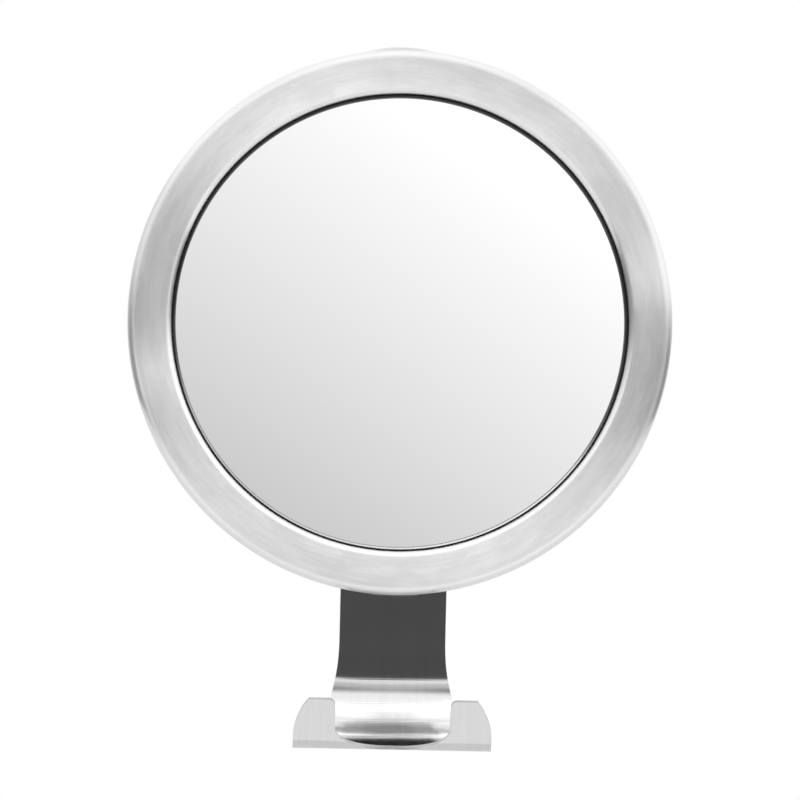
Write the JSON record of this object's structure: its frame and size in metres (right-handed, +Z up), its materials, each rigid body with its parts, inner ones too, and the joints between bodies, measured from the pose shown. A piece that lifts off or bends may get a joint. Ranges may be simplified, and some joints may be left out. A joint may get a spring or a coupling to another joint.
{
  "type": "fogless shower mirror with razor hook",
  "caption": "Round shower mirror in a brushed steel ring with a bent steel razor hook below, on a ball joint and a twist-lock suction wall mount.",
  "frame": {"origin": "centre of the suction cup's footprint on the wall", "axes": "+Y into the wall, so the mirror faces -Y; +Z up; +X right as seen from the front"},
  "size_m": [0.165, 0.0943, 0.2185],
  "materials": {
    "bezel_steel": "brushed in circles round the ring",
    "hook_steel": "brushed along the strip",
    "mirror": "polished",
    "seal_rubber": "smooth black",
    "foam": "closed-cell foam",
    "black_plastic": "matt",
    "shell_plastic": "fine texture, pale grey",
    "white_plastic": "satin white",
    "ball_chrome": "polished",
    "screw_steel": "plain",
    "cup_rubber": "clear soft rubber"
  },
  "bodies": {
    "wall_mount": {"suction_cup": "cup_rubber", "base_bell": "white_plastic", "front_cap": "white_plastic", "cap_screw_1": "screw_steel", "cap_screw_2": "screw_steel", "cap_screw_3": "screw_steel"},
    "lever": {"twist_lever": "white_plastic"},
    "stem": {"pull_stem": "black_plastic", "cross_pin": "screw_steel"},
    "stud": {"ball_stud": "ball_chrome", "stud_nut": "screw_steel", "stud_washer": "black_plastic"},
    "liner": {"ball_liner": "black_plastic"},
    "head": {"bezel_ring": "bezel_steel", "mirror_pane": "mirror", "mirror_gasket": "seal_rubber", "foam_pad": "foam", "carrier_ring": "black_plastic", "rear_shell": "shell_plastic", "shell_screw_1": "screw_steel", "shell_screw_2": "screw_steel", "shell_screw_3": "screw_steel", "shell_screw_4": "screw_steel", "razor_hook": "hook_steel", "hook_screw_1": "screw_steel", "hook_screw_2": "screw_steel", "ball_socket": "shell_plastic", "socket_screw_1": "screw_steel", "socket_screw_2": "screw_steel", "socket_screw_3": "screw_steel", "socket_screw_4": "screw_steel"},
    "clamp": {"clamp_ring": "white_plastic"}
  },
  "joints": [
    {"name": "lever_turn", "type": "hinge", "parent": "wall_mount", "child": "lever", "pos_m": [0, -0.0184, 0], "axis": [0, 1, 0], "range_deg": [0, 90]},
    {"name": "stem_pull", "type": "slide", "parent": "wall_mount", "child": "stem", "axis": [0, 1, 0], "range_m": [0, 0.0025]},
    {"name": "mirror_spin", "type": "hinge", "parent": "wall_mount", "child": "stud", "pos_m": [0, -0.044, 0], "axis": [0, 1, 0], "continuous": true},
    {"name": "mirror_pan", "type": "hinge", "parent": "stud", "child": "liner", "pos_m": [0, -0.044, 0], "axis": [0, 0, 1], "range_deg": [-15, 15]},
    {"name": "mirror_tilt", "type": "hinge", "parent": "liner", "child": "head", "pos_m": [0, -0.044, 0], "axis": [1, 0, 0], "range_deg": [-15, 15]},
    {"name": "clamp_turn", "type": "hinge", "parent": "head", "child": "clamp", "pos_m": [0, -0.044, 0], "axis": [0, 1, 0], "range_deg": [0, 90]}
  ],
  "couplings": [
    {"joint": "stem_pull", "follows": "lever_turn", "m_per_rad": 0.00159}
  ]
}
